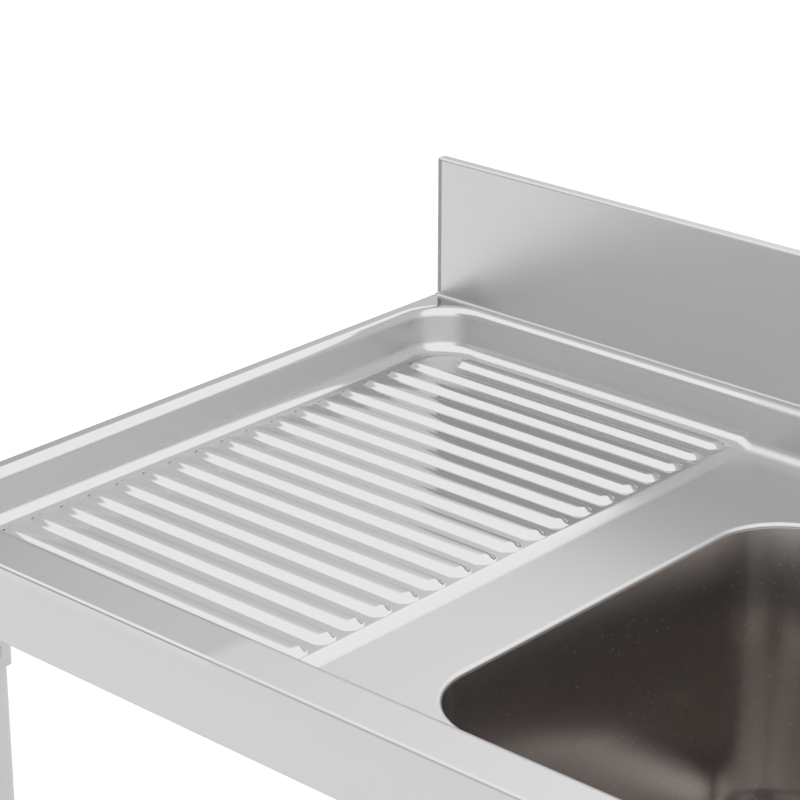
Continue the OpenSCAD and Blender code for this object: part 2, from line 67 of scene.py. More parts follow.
# where the flat rim ends and the tray begins
tray_left, tray_right = -491 * mm, 491 * mm
tray_front, tray_back = -265 * mm, 287 * mm
tray_corner, corner_steps = 48 * mm, 24
bend_angles = [radians(angle) for angle in (0, 15, 30, 45, 60, 75, 90)]
# points and heights that are closer than this are taken as one
close = 0.01 * mm


def select(test, kind="FACE"):
    """Selects, in edit mode, the faces, edges or vertices that pass a test, and nothing else."""
    bpy.ops.mesh.select_all(action="DESELECT")
    bpy.ops.mesh.select_mode(type=kind)
    shape = bmesh.from_edit_mesh(bpy.context.object.data)
    for part in {"FACE": shape.faces, "EDGE": shape.edges, "VERT": shape.verts}[kind]:
        if test(part):
            part.select_set(True)
    shape.select_flush_mode()
    bmesh.update_edit_mesh(bpy.context.object.data)


def move_points(place):
    """Moves each vertex of the piece in edit mode to the place that a function gives for it."""
    shape = bmesh.from_edit_mesh(bpy.context.object.data)
    for point in shape.verts:
        point.co = place(point.co)
    bmesh.update_edit_mesh(bpy.context.object.data)


def start_plate(name, low, high, z, corner, steps):
    """A flat plate from corner low to corner high with round corners, in edit mode, its one face selected."""
    bpy.ops.object.select_all(action="DESELECT")
    bpy.ops.mesh.primitive_plane_add(size=1)
    plate = bpy.context.object
    plate.name = plate.data.name = name
    plate.location = ((low[0] + high[0]) / 2, (low[1] + high[1]) / 2, z)
    plate.scale = (high[0] - low[0], high[1] - low[1], 1)
    bpy.ops.object.transform_apply(location=True, rotation=True, scale=True)
    bpy.ops.object.mode_set(mode="EDIT")
    bpy.ops.mesh.select_all(action="SELECT")
    if corner:
        bpy.ops.mesh.bevel(offset=corner, segments=steps, affect="VERTICES")
    return plate


def start_disc(name, radius, x, y, z, corners=64):
    """A flat disc in edit mode, its one face selected."""
    bpy.ops.object.select_all(action="DESELECT")
    bpy.ops.mesh.primitive_circle_add(vertices=corners, radius=radius, fill_type="NGON")
    disc = bpy.context.object
    disc.name = disc.data.name = name
    disc.location = (x, y, z)
    bpy.ops.object.transform_apply(location=True)
    bpy.ops.object.mode_set(mode="EDIT")
    bpy.ops.mesh.select_all(action="SELECT")
    return disc


def press(steps):
    """Insets the selected face again and again, each time by a step inwards and a step up."""
    for inwards, up in steps:
        bpy.ops.mesh.inset(thickness=inwards, depth=up)


def steps_between(points):
    """The steps from each point of a profile to the next."""
    return [(b[0] - a[0], b[1] - a[1]) for a, b in zip(points, points[1:])]


def join(pieces):
    """Joins pieces to the first one and merges the points that they share."""
    bpy.ops.object.mode_set(mode="OBJECT")
    bpy.ops.object.select_all(action="DESELECT")
    for piece in pieces:
        piece.select_set(True)
    bpy.context.view_layer.objects.active = pieces[0]
    bpy.ops.object.join()
    bpy.ops.object.mode_set(mode="EDIT")
    bpy.ops.mesh.select_all(action="SELECT")
    bpy.ops.mesh.remove_doubles(threshold=close)


def fill_between(test):
    """Closes the flat area between the open edges whose middles pass a test."""
    select(lambda edge: len(edge.link_faces) < 2 and test((edge.verts[0].co + edge.verts[1].co) / 2), "EDGE")
    bpy.ops.mesh.fill(use_beauty=True)


def face_outwards():
    """Turns the faces of the piece in edit mode outwards, and leaves edit mode."""
    bpy.ops.mesh.select_all(action="SELECT")
    bpy.ops.mesh.normals_make_consistent(inside=False)
    bpy.ops.object.mode_set(mode="OBJECT")


def modify(piece, kind, **settings):
    """Adds a modifier to a piece and applies it."""
    bpy.context.view_layer.objects.active = piece
    modifier = piece.modifiers.new(kind.title(), kind)
    for name, value in settings.items():
        setattr(modifier, name, value)
    bpy.ops.object.modifier_apply(modifier=modifier.name)


# The wall of the tray, from the rim to the ribbed floor: a bend, a leaning wall and a second bend.
shoulder, foot, depth, draft = 8 * mm, 10 * mm, 37 * mm, radians(5)
# the distances from the bends to the edges that hold them: on the rim, on the wall and on the floor
support, wall_support, floor_support = 0.4 * mm, 1 * mm, 0.25 * mm
straight = depth - (shoulder + foot) * (1 - sin(draft))
foot_in = (shoulder + foot) * cos(draft) + straight * tan(draft)
turns = [(pi / 2 - draft) * k / 8 for k in range(9)]
wall = [(-support, 0)]
wall += [(shoulder * sin(a), shoulder * cos(a) - shoulder) for a in turns]
wall += [(wall[-1][0] + wall_support * sin(draft), wall[-1][1] - wall_support)]
foot_arc = [(foot_in - foot * sin(a), foot - foot * cos(a) - depth) for a in reversed(turns)]
wall += [(foot_arc[0][0] - wall_support * sin(draft), foot_arc[0][1] + wall_support)]
wall += foot_arc
wall += [(foot_in + floor_support, -depth)]
top = start_plate(
    "pressed_top", (tray_left - support, tray_front - support), (tray_right + support, tray_back + support),
    rim_z, tray_corner + support, corner_steps,
)
press(steps_between(wall))

# The ramp: right of the ribs the floor and the bend below the wall lie 4 mm deeper. It ends in the plain
# strip beside the opening of the bowl, which lies inside the flange of the bowl.
rise, ramp_length, plain_strip, bowl_flange = 4 * mm, 12 * mm, 73 * mm, 10 * mm
bowl_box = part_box("bowl")
bowl_low = Vector((bowl_box[0].x + bowl_flange, bowl_box[0].y + bowl_flange))
bowl_high = Vector((bowl_box[1].x - bowl_flange, bowl_box[1].y - bowl_flange))
ramp_right = bowl_low.x - plain_strip
ramp_left = ramp_right - ramp_length
ramp_cuts, ramp_support, wall_foot = 12, 0.3 * mm, 26.9 * mm
cuts = [ramp_left - ramp_support, ramp_right + ramp_support]
cuts += [ramp_left + (ramp_right - ramp_left) * k / ramp_cuts for k in range(ramp_cuts + 1)]
for x in cuts:
    bpy.ops.mesh.select_all(action="SELECT")
    bpy.ops.mesh.bisect(plane_co=(x, 0, 0), plane_no=(1, 0, 0))


def lowered(point):
    """The place of a point after the ramp is pressed. The wall keeps its place down to its foot."""
    share = min(max((point.x - ramp_left) / (ramp_right - ramp_left), 0), 1)
    below_wall = point.z < rim_z - wall_foot
    return point - Vector((0, 0, rise * (0.5 - 0.5 * cos(pi * share)) * below_wall))


move_points(lowered)
floor_z = rim_z - depth
deck_z = floor_z - rise
# the two flat areas of more than this many square metres, left and right of the ramp, are taken out
flat_area = 0.05
select(lambda face: face.normal.z > 0.99 and face.calc_area() > flat_area)
bpy.ops.mesh.delete(type="ONLY_FACE")
bpy.ops.object.mode_set(mode="OBJECT")

# Each rib is 20 mm wide and 4 mm high, flat on top, with rounded sides and round ends. The first and the last
# run into the bend at the foot of the wall, so they are narrower on that side, and shorter in the corners.
rib_half, rib_height, rib_pitch, rib_count = 10 * mm, 4 * mm, 27.25 * mm, 19
rib_side, side_steps = 6.2 * mm, 10
margin, start_gap, end_gap = 0.6 * mm, 1.2 * mm, 1 * mm
floor_left = tray_left + foot_in + floor_support
rib_start, rib_end = floor_left + start_gap, ramp_left - end_gap
ribs_middle = 10.5 * mm
first_rib = ribs_middle - (rib_count - 1) / 2 * rib_pitch
last_rib = first_rib + (rib_count - 1) * rib_pitch
outer_half = min(rib_half, first_rib - tray_front - foot_in - margin - margin)
corner_x, corner_y = tray_left + tray_corner, tray_back - tray_corner
outer_y = last_rib + outer_half + margin
deepest = max(outer_y - corner_y, tray_front + tray_corner - first_rib + outer_half + margin)
short_start = corner_x - sqrt(max((tray_corner - foot_in - margin) ** 2 - deepest ** 2, 0)) + margin
end_steps = [rib_side * k / side_steps for k in range(side_steps + 1)]
end_steps += [7.2 * mm, 8.1 * mm, 9 * mm, rib_half]
along = [rib_start - margin] + [rib_start + step for step in end_steps]
along += [short_start - margin] + [short_start + step for step in end_steps]
along += [short_start + rib_half + (rib_end - short_start - 2 * rib_half) * k / 8 for k in range(1, 8)]
along += [rib_end - step for step in reversed(end_steps)] + [rib_end + margin]


def rib(y, start, front, back):
    """One rib on its strip of floor, as a grid that is denser where ribs end and begin."""
    halves = [min(side, rib_half + margin) - margin for side in (front, back)]
    rows = [1 - rib_side / rib_half * k / side_steps for k in range(side_steps + 1)]
    across = [-halves[0] * share for share in rows] + [0] + [halves[1] * share for share in reversed(rows)]
    across = [-halves[0] - margin] * (front > halves[0] + 1.1 * margin) + across
    across += [halves[1] + margin] * (back > halves[1] + 1.1 * margin)
    across = [-front] + across + [back]
    bpy.ops.object.select_all(action="DESELECT")
    bpy.ops.mesh.primitive_grid_add(x_subdivisions=len(along) - 1, y_subdivisions=len(across) - 1, size=1)
    piece = bpy.context.object
    bpy.ops.object.mode_set(mode="EDIT")

    def place(point):
        x = along[round((point.x + 0.5) * (len(along) - 1))]
        sideways = across[round((point.y + 0.5) * (len(across) - 1))]
        past_end = max(start + rib_half - x, x - rib_end + rib_half, 0)
        half = min(back if sideways > 0 else front, rib_half + margin) - margin
        reach = min(hypot(past_end / rib_half, sideways / half), 1)
        down = max(reach * rib_half - rib_half + rib_side, 0) / rib_side
        return Vector((x, y + sideways, floor_z + rib_height * (0.5 + 0.5 * cos(pi * down))))

    move_points(place)
    select(lambda face: face.calc_center_median().x < start - margin)
    bpy.ops.mesh.delete(type="FACE")
    bpy.ops.object.mode_set(mode="OBJECT")
    return piece


middle_ribs = rib(first_rib + rib_pitch, rib_start, rib_pitch / 2, rib_pitch / 2)
modify(
    middle_ribs, "ARRAY", count=rib_count - 2, use_relative_offset=False,
    use_constant_offset=True, constant_offset_displace=(0, rib_pitch, 0),
)
join([
    top, middle_ribs,
    rib(first_rib, short_start, outer_half + margin, rib_pitch / 2),
    rib(last_rib, short_start, rib_pitch / 2, outer_half + margin),
])
fill_between(lambda middle: abs(middle.z - floor_z) < close and middle.x < ramp_left - 0.2 * mm)

# The deck is cut out for the bowl, with its edge turned down in a bend, and for the tap.
bowl_corner, turn = 60 * mm, 2.8 * mm
bpy.ops.object.mode_set(mode="OBJECT")
mouth = start_plate(
    "mouth", bowl_low - Vector((turn, turn)) * 1.15, bowl_high + Vector((turn, turn)) * 1.15,
    deck_z, bowl_corner + turn * 1.15, corner_steps,
)
profile = [(-turn * 0.15, 0)] + [(turn * sin(a), turn * cos(a) - turn) for a in bend_angles]
press(steps_between(profile))
bpy.ops.mesh.delete(type="FACE")
bpy.ops.object.mode_set(mode="OBJECT")
tap_x, tap_y, tap_radius, tap_edge = (bowl_low.x + bowl_high.x) / 2, 235.61 * mm, 17.5 * mm, 0.3 * mm
tap_hole = start_disc("tap_hole", tap_radius + tap_edge, tap_x, tap_y, deck_z)
press([(tap_edge, -tap_edge)])
bpy.ops.mesh.delete(type="FACE")
join([top, mouth, tap_hole])
fill_between(lambda middle: abs(middle.z - deck_z) < close and middle.x > ramp_left)

# The rim is turned down all round in a lip of 12 mm.
lip, bend, rim_corner = 12 * mm, 2.5 * mm, 4 * mm
bpy.ops.object.mode_set(mode="OBJECT")
lip_plate = start_plate("lip", top_low, top_high, rim_z - lip, rim_corner, 8)
profile = [(0, 0), (0, lip - bend)]
profile += [(bend - bend * cos(a), lip - bend + bend * sin(a)) for a in bend_angles[1:]]
profile += [(bend + support, lip)]
press(steps_between(profile))
bpy.ops.mesh.delete(type="FACE")
join([top, lip_plate])
fill_between(lambda middle: abs(middle.z - rim_z) < close)
face_outwards()
top.data.name = top.name
modify(top, "SOLIDIFY", thickness=sheet, offset=-1, use_even_offset=True)


def to_linear(colour):
    """The linear colour of an sRGB hex value."""
    parts = [int(colour[k:k + 2], 16) / 255 for k in (1, 3, 5)]
    return [p / 12.92 if p <= 0.04045 else ((p + 0.055) / 1.055) ** 2.4 for p in parts] + [1]


def add(material, kind, inputs=(), **settings):
    """Adds a node to a material with its settings, and sets or links its inputs."""
    tree = material.node_tree
    new = tree.nodes.new("ShaderNode" + kind)
    for name, value in settings.items():
        setattr(new, name, value)
    for name, value in dict(inputs).items():
        if isinstance(value, bpy.types.NodeSocket):
            tree.links.new(value, new.inputs[name])
        else:
            new.inputs[name].default_value = value
    return new


def new_material(name):
    """A material with only its output, and its object coordinates."""
    material = bpy.data.materials.new(name)
    material.use_nodes = True
    material.node_tree.nodes.clear()
    return material, add(material, "TexCoord").outputs["Object"]


def show(material, shader):
    add(material, "OutputMaterial", {"Surface": shader.outputs[0]})


# Rolled stainless steel as it leaves the mill: a soft mirror with a very faint grain and slow waves of the
# press. The walls of the tray are satin between the bends, and so is the deck from the ramp on.
mill_steel, place = new_material("mill_finish_stainless_steel")
waves = add(mill_steel, "TexNoise", {"Vector": place, "Scale": 14, "Detail": 1})
grain = add(mill_steel, "TexNoise", {"Vector": place, "Scale": 900, "Detail": 2})
parts = add(mill_steel, "SeparateXYZ", {0: place})
above_floor = add(mill_steel, "MapRange", {
    "Value": parts.outputs["Z"], "From Min": floor_z + 3 * mm, "From Max": floor_z + 10 * mm,
})
below_rim = add(mill_steel, "MapRange", {
    "Value": parts.outputs["Z"], "From Min": rim_z - 3 * mm, "From Max": rim_z - 8 * mm,
})
on_deck = add(mill_steel, "MapRange", {
    "Value": parts.outputs["X"], "From Min": rib_end, "From Max": ramp_right,
})
on_wall = add(mill_steel, "Math", {0: above_floor.outputs[0], 1: below_rim.outputs[0]}, operation="MULTIPLY")
satin = add(mill_steel, "Math", {0: on_wall.outputs[0], 1: on_deck.outputs[0]}, operation="MAXIMUM")
least = add(mill_steel, "MapRange", {"Value": satin.outputs[0], "To Min": 0.09, "To Max": 0.33})
rough = add(mill_steel, "MapRange", {"Value": grain.outputs[0], "To Min": 0, "To Max": 0.04})
rough = add(mill_steel, "Math", {0: rough.outputs[0], 1: least.outputs[0]}, operation="ADD")
bump = add(mill_steel, "Bump", {"Height": waves.outputs[0], "Strength": 0.06, "Distance": 0.001})
show(mill_steel, add(mill_steel, "BsdfPrincipled", {
    "Base Color": to_linear("#cecece"), "Metallic": 1,
    "Roughness": rough.outputs[0], "Normal": bump.outputs[0],
}))


def finish(piece, material, body="table", slot=None, replaced=(), crisp=30):
    """Shades a piece smooth but for its sharp edges, gives it its material and body, and hides the CAD nodes
    it replaces. The slot is not used.
    """
    bpy.ops.object.mode_set(mode="OBJECT")
    bpy.ops.object.select_all(action="DESELECT")
    piece.select_set(True)
    bpy.context.view_layer.objects.active = piece
    bpy.ops.object.shade_smooth_by_angle(angle=radians(crisp))
    piece.data.materials.clear()
    piece.data.materials.append(material)
    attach(piece, body)
    if replaced:
        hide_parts(*replaced)
    bpy.ops.object.select_all(action="DESELECT")


finish(top, mill_steel, slot="pressed_steel", replaced=["worktop"])


# Splashback: a folded upstand of the same sheet, welded and ground on to the back of the rim, open behind.
# Its face is brushed along its length to a satin finish.
flare, top_bend, splash_corner, play = 2 * mm, 2 * mm, 5 * mm, 0.05 * mm
splash = start_plate(
    "folded_splashback",
    (splash_low.x - flare, splash_low.y - flare), (splash_high.x + flare, splash_high.y + flare),
    rim_z + play, splash_corner, 10,
)
height = splash_high.z - splash_low.z
profile = [(flare * sin(a), flare - flare * cos(a)) for a in bend_angles]
profile += [(flare, 3 * mm), (flare, height - top_bend - 0.5 * mm)]
profile += [
    (flare + top_bend - top_bend * cos(a), height - top_bend + top_bend * sin(a) - play) for a in bend_angles
]
profile += [(flare + top_bend + 0.3 * mm, height - play)]
press(steps_between(profile))
back_y, hem_z = splash_high.y - 0.2 * mm, splash_high.z - 20 * mm
bpy.ops.mesh.select_all(action="SELECT")
bpy.ops.mesh.bisect(plane_co=(0, 0, hem_z), plane_no=(0, 0, 1))
select(lambda face: face.calc_center_median().y > back_y and face.calc_center_median().z < hem_z)
bpy.ops.mesh.delete(type="FACE")
bpy.ops.object.mode_set(mode="OBJECT")
modify(splash, "SOLIDIFY", thickness=sheet, offset=-1, use_even_offset=True)
bpy.ops.object.mode_set(mode="EDIT")
move_points(lambda point: Vector((point.x, min(point.y, splash_high.y), point.z)))
# the width of the band of painted shade at each end of the face, which is also cut into the mesh
shade_band = 5.5 * mm
for x in (splash_low.x + shade_band, splash_high.x - shade_band):
    bpy.ops.mesh.select_all(action="SELECT")
    bpy.ops.mesh.bisect(plane_co=(x, 0, 0), plane_no=(1, 0, 0))
bpy.ops.object.mode_set(mode="OBJECT")


# Brushed stainless steel: fine lines 0.3 mm apart along the length, from a belt, that blur what it mirrors.
def brushed(name, lines):
    """Stainless steel with the fine lines of a belt. The scale of the lines is small along them."""
    material, place = new_material(name)
    lines = add(material, "Mapping", {"Vector": place, "Scale": lines})
    brush = add(material, "TexNoise", {"Vector": lines.outputs[0], "Scale": 1.5, "Detail": 3})
    rough = add(material, "MapRange", {"Value": brush.outputs[0], "To Min": 0.27, "To Max": 0.37})
    bump = add(material, "Bump", {"Height": brush.outputs[0], "Strength": 0.12, "Distance": 0.0002})
    show(material, add(material, "BsdfPrincipled", {
        "Base Color": to_linear("#cecece"), "Metallic": 1,
        "Roughness": rough.outputs[0], "Normal": bump.outputs[0],
    }))
    return material


brushed_steel = brushed("brushed_stainless_steel", (8, 900, 900))
cross_brushed_steel = brushed("cross_brushed_stainless_steel", (900, 8, 900))
upright_brushed_steel = brushed("upright_brushed_stainless_steel", (900, 900, 8))
finish(splash, brushed_steel, slot="satin_steel", replaced=["splashback"])

# The ends of its face: a band painted a mottled darker grey as painted shade, and rougher than the brushed
# face.
end_shade_steel, place = new_material("ground_stainless_weld_seam")
marks = add(end_shade_steel, "TexNoise", {"Vector": place, "Scale": 700, "Detail": 3})
grey = add(end_shade_steel, "ValToRGB", {0: marks.outputs[0]})
dark, pale = grey.color_ramp.elements
dark.color, pale.color = to_linear("#8f8f8f"), to_linear("#b4b4b4")
dark.position, pale.position = 0.35, 0.65
show(end_shade_steel, add(end_shade_steel, "BsdfPrincipled", {
    "Base Color": grey.outputs[0], "Metallic": 1, "Roughness": 0.5,
}))
splash.data.materials.append(end_shade_steel)
for face in splash.data.polygons:
    outside = face.center.x < splash_low.x + shade_band or face.center.x > splash_high.x - shade_band
    if outside and face.normal.y < -0.9 and face.center.z > rim_z + 4 * mm:
        face.material_index = 1


# Bowl: pressed from the same sheet, with large bends, welded below its opening and polished less than the
# top. A seat is pressed round the outlet hole, so that the flange of the outlet lies flush.
bowl_top = deck_z - turn
bowl_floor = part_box("damping_pad")[1].z + sheet
seat = 4.5 * mm
bowl_draft = radians(1)
flange = Vector((bowl_flange, bowl_flange))
bowl = start_plate(
    "pressed_bowl", bowl_low - flange, bowl_high + flange, bowl_top, bowl_corner + bowl_flange, corner_steps,
)
bowl_bend = 35 * mm
bowl_depth = bowl_top - bowl_floor
wall_drop = bowl_depth - bowl_bend * (1 - sin(bowl_draft))
lean = wall_drop * tan(bowl_draft)
profile = [(0, 0), (bowl_flange - 1 * mm, 0), (bowl_flange - 0.3 * mm, -0.3 * mm), (bowl_flange, -1 * mm)]
profile += [(bowl_flange + lean * 0.5, -wall_drop / 2)]
for angle in (1, 8, 16, 24, 32, 40, 48, 56, 64, 72, 80, 90):
    inwards = bowl_flange + lean + bowl_bend * (cos(bowl_draft) - cos(radians(angle)))
    profile += [(inwards, -bowl_depth + bowl_bend - bowl_bend * sin(radians(angle)))]
profile += [(profile[-1][0] + 1 * mm, -bowl_depth)]
press(steps_between(profile))
bpy.ops.mesh.delete(type="ONLY_FACE")
bpy.ops.object.mode_set(mode="OBJECT")
waste_low, waste_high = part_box("waste_body")
waste_x, waste_y = (waste_low.x + waste_high.x) / 2, (waste_low.y + waste_high.y) / 2
seat_radius = (waste_high.x - waste_low.x) / 2 + 1 * mm
hole_radius = 29 * mm

seat_disc = start_disc("seat", seat_radius + 1.2 * mm, waste_x, waste_y, bowl_floor)
press([
    (0.4 * mm, 0), (0.5 * mm, -0.2 * mm), (0.3 * mm, -0.8 * mm), (0, -seat + 1.8 * mm),
    (0.3 * mm, -0.6 * mm), (0.5 * mm, -0.2 * mm), (seat_radius - hole_radius - 0.8 * mm, 0),
])
bpy.ops.mesh.delete(type="FACE")
join([bowl, seat_disc])
fill_between(lambda middle: abs(middle.z - bowl_floor) < close)
face_outwards()
modify(bowl, "SOLIDIFY", thickness=sheet, offset=-1, use_even_offset=True)
# The bowl's steel has a darker, warmer colour than the top's: painted shade for the dim inside of the bowl.
bowl_steel_painted_shade, place = new_material("matt_pressed_stainless_steel")
grain = add(bowl_steel_painted_shade, "TexNoise", {"Vector": place, "Scale": 700, "Detail": 2})
rough = add(bowl_steel_painted_shade, "MapRange", {"Value": grain.outputs[0], "To Min": 0.2, "To Max": 0.3})
show(bowl_steel_painted_shade, add(bowl_steel_painted_shade, "BsdfPrincipled", {
    "Base Color": to_linear("#b3aeab"), "Metallic": 1, "Roughness": rough.outputs[0],
}))
finish(bowl, bowl_steel_painted_shade, slot="satin_steel", replaced=["bowl"])


# Skirt: four channels folded of the same sheet below the rim, welded to the top and to each other. Their
# flanges point inwards and are cut back where two of them meet in a corner.
def fold(name, outline):
    """A strip of sheet along X, folded over the points of an outline: (inwards, up, half of its length)."""
    bpy.ops.object.select_all(action="DESELECT")
    bpy.ops.mesh.primitive_plane_add(size=2)
    strip = bpy.context.object
    strip.name = strip.data.name = name
    inwards, up, half = outline[0]
    strip.scale = (half, 1, 1)
    strip.location = (0, inwards + 1, up)
    bpy.ops.object.transform_apply(location=True, rotation=True, scale=True)
    bpy.ops.object.mode_set(mode="EDIT")
    select(lambda point: point.co.y > inwards + 1, "VERT")
    bpy.ops.mesh.delete(type="VERT")
    bpy.ops.mesh.select_all(action="SELECT")
    for before, after in zip(outline, outline[1:]):
        step = (0, after[0] - before[0], after[1] - before[1])
        bpy.ops.mesh.extrude_region_move(TRANSFORM_OT_translate={"value": step})
        bpy.ops.transform.resize(value=(after[2] / before[2], 1, 1), center_override=(0, 0, 0))
    face_outwards()
    modify(strip, "SOLIDIFY", thickness=sheet, offset=-1, use_even_offset=True)
    return strip


def set_down(master, name, place, turn=(0, 0, 0)):
    """A copy of a piece that was made at the origin, turned and put in its place, with its own mesh."""
    bpy.ops.object.mode_set(mode="OBJECT")
    bpy.ops.object.select_all(action="DESELECT")
    master.select_set(True)
    bpy.context.view_layer.objects.active = master
    bpy.ops.object.duplicate()
    piece = bpy.context.object
    piece.name = piece.data.name = name
    piece.location = place
    piece.rotation_euler = turn
    bpy.ops.object.transform_apply(location=True, rotation=True, scale=True)
    return piece


skirt_low, skirt_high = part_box("skirt_front")
side_low, side_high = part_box("skirt_left")
skirt_height = skirt_high.z - skirt_low.z
bottom_flange, top_flange, fold_radius = 25 * mm, 8 * mm, 2.4 * mm


def skirt_outline(half, bottom_short, top_short):
    """The outside of a channel: upper flange, bend, web, bend and lower flange."""
    turns = [(1 - cos(radians(a)), 1 - sin(radians(a))) for a in (0, 22, 45, 68, 90)]
    outline = [(top_flange, skirt_height, half - top_short), (fold_radius, skirt_height, half - top_short)]
    outline += [(fold_radius * up, skirt_height - fold_radius * inwards, half) for inwards, up in turns[1:]]
    outline += [(fold_radius * inwards, fold_radius * up, half) for inwards, up in turns[:-1]]
    outline += [(fold_radius, 0, half - bottom_short), (bottom_flange, 0, half - bottom_short)]
    return outline


long_skirt = fold("long_skirt", skirt_outline(skirt_high.x, sheet, sheet))
short_skirt = fold("short_skirt", skirt_outline(side_high.y, bottom_flange - sheet, top_flange - sheet))
for master, name, node, spot, about_z in (
    (long_skirt, "folded_skirt_front", "skirt_front", (0, skirt_low.y, skirt_low.z), 0),
    (long_skirt, "folded_skirt_back", "skirt_back", (0, -skirt_low.y, skirt_low.z), pi),
    (short_skirt, "folded_skirt_left", "skirt_left", (side_low.x, 0, skirt_low.z), -pi / 2),
    (short_skirt, "folded_skirt_right", "skirt_right", (-side_low.x, 0, skirt_low.z), pi / 2),
):
    steel = brushed_steel if master is long_skirt else cross_brushed_steel
    finish(set_down(master, name, spot, (0, 0, about_z)), steel, slot="satin_steel", replaced=[node])
bpy.data.objects.remove(long_skirt)
bpy.data.objects.remove(short_skirt)


# Carriers below the top: hat channels that hold up the drainer and the deck, and the plate that stiffens the
# deck round the tap hole. They are folded or cut from sheet with a satin finish and welded.
def dress(material, *nodes):
    """Gives the nodes of the frame that stay in view their material."""
    for node in nodes:
        for slot in bpy.data.objects[node].material_slots:
            slot.material = material


dress(cross_brushed_steel, "drainer_channel_left", "drainer_channel_right")
dress(cross_brushed_steel, "deck_channel_left", "deck_channel_right")
dress(brushed_steel, "tap_plate")


# Damping pad: bitumen felt under the bowl that keeps it from drumming, glued on and left rough and black.
bitumen, place = new_material("bitumen_damping_felt")
crumbs = add(bitumen, "TexNoise", {"Vector": place, "Scale": 420, "Detail": 6})
patches = add(bitumen, "TexNoise", {"Vector": place, "Scale": 28, "Detail": 3})
tone = add(bitumen, "MixRGB", {0: patches.outputs[0], 1: to_linear("#171614"), 2: to_linear("#26231f")})
bump = add(bitumen, "Bump", {"Height": crumbs.outputs[0], "Strength": 0.7, "Distance": 0.0008})
show(bitumen, add(bitumen, "BsdfPrincipled", {
    "Base Color": tone.outputs[0], "Roughness": 0.82, "Normal": bump.outputs[0],
}))
dress(bitumen, "damping_pad")


# Legs: drawn square tube of 40 mm with rounded corners, ground along their length, pushed into the sockets.
def extrude_up(height):
    """Draws what is selected straight up."""
    bpy.ops.mesh.extrude_region_move(TRANSFORM_OT_translate={"value": (0, 0, height)})


def tube(name, side, corner, wall, length):
    """A square tube with round corners that stands on the origin."""
    piece = start_plate(name, (-side / 2, -side / 2), (side / 2, side / 2), 0, corner, 5)
    press([(wall, 0)])
    bpy.ops.mesh.delete(type="FACE")
    bpy.ops.mesh.select_all(action="SELECT")
    extrude_up(length)
    face_outwards()
    return piece


corners = ("front_left", "front_right", "rear_left", "rear_right")
leg_low, leg_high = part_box("leg_front_left")
leg_side = leg_high.x - leg_low.x
leg_x, leg_y = -(leg_low.x + leg_high.x) / 2, -(leg_low.y + leg_high.y) / 2
leg_place = {
    name: Vector((leg_x if "right" in name else -leg_x, leg_y if "rear" in name else -leg_y))
    for name in corners
}
leg_corner, tube_wall = 4 * mm, 1.5 * mm
leg = tube("leg", leg_side, leg_corner, tube_wall, leg_high.z - leg_low.z)
for name in corners:
    piece = set_down(leg, "leg_tube_" + name, (*leg_place[name], leg_low.z))
    finish(piece, upright_brushed_steel, slot="tube_steel", replaced=["leg_" + name])
bpy.data.objects.remove(leg)


# Leg sockets: a plate below the rim with a short tube welded on that takes the leg, and a bead all round the
# tube. Each holds its leg with two screws.
def weld_bead(name, side, corner, size):
    """The bead round a square tube that stands on the origin, closed all round."""
    half = side / 2 + size
    bead = start_plate(name, (-half, -half), (half, half), 0, corner + size, 5)
    press([(0.12 * size, 0.42 * size), (0.3 * size, 0.3 * size)])
    press([(0.58 * size, 0.28 * size), (0.02 * size, -size)])
    bpy.ops.mesh.delete(type="FACE")
    select(lambda edge: edge.is_boundary, "EDGE")
    bpy.ops.mesh.fill(use_beauty=True)
    face_outwards()
    return bead


socket_low, socket_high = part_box("leg_socket_front_left")
plate_half = (socket_high.x - socket_low.x) / 2
plate_z = leg_high.z
collar_gap, collar_wall, collar_corner, plate_corner = 0.5 * mm, 2.5 * mm, 5 * mm, 5 * mm
collar_side = leg_side + 2 * collar_gap + 2 * collar_wall
plate = start_plate("plate", (-plate_half, -plate_half), (plate_half, plate_half), 0, plate_corner, 5)
extrude_up(socket_high.z - plate_z)
face_outwards()
collar = tube("collar", collar_side, collar_corner, collar_wall, plate_z - socket_low.z)
collar.location.z = socket_low.z - plate_z
bpy.ops.object.transform_apply(location=True)
join([plate, collar])
bpy.ops.object.mode_set(mode="OBJECT")
modify(plate, "BEVEL", width=0.4 * mm, segments=2, limit_method="ANGLE", angle_limit=radians(60))
for name in corners:
    piece = set_down(plate, "socket_" + name, (*leg_place[name], plate_z))
    finish(piece, upright_brushed_steel, slot="tube_steel", replaced=["leg_socket_" + name])
bpy.data.objects.remove(plate)
socket_bead = weld_bead("socket_bead", collar_side, collar_corner, 3 * mm)
beads = [set_down(socket_bead, "welds", (*leg_place[name], plate_z), (pi, 0, 0)) for name in corners]
bpy.data.objects.remove(socket_bead)


# Screws of the sockets: short M8 screws with hexagon heads, of plain stainless steel, their tips on the leg.
def turned(name, outline, x=0, y=0, steps=48):
    """A piece turned on a lathe: an outline of (radius, height) goes once round an upright axis."""
    bpy.ops.object.select_all(action="DESELECT")
    bpy.ops.mesh.primitive_plane_add(size=1 * mm)
    piece = bpy.context.object
    piece.name = piece.data.name = name
    bpy.ops.object.mode_set(mode="EDIT")
    bpy.ops.mesh.select_mode(type="VERT")
    bpy.ops.mesh.select_all(action="SELECT")
    bpy.ops.mesh.merge(type="CENTER")
    bpy.ops.transform.translate(value=(x + outline[0][0], y, outline[0][1]))
    for out, up in steps_between(outline):
        bpy.ops.mesh.extrude_region_move(TRANSFORM_OT_translate={"value": (out, 0, up)})
    bpy.ops.mesh.select_all(action="SELECT")
    bpy.ops.mesh.spin(steps=steps, angle=2 * pi, center=(x, y, 0), axis=(0, 0, 1))
    bpy.ops.mesh.select_all(action="SELECT")
    bpy.ops.mesh.remove_doubles(threshold=close)
    face_outwards()
    return piece


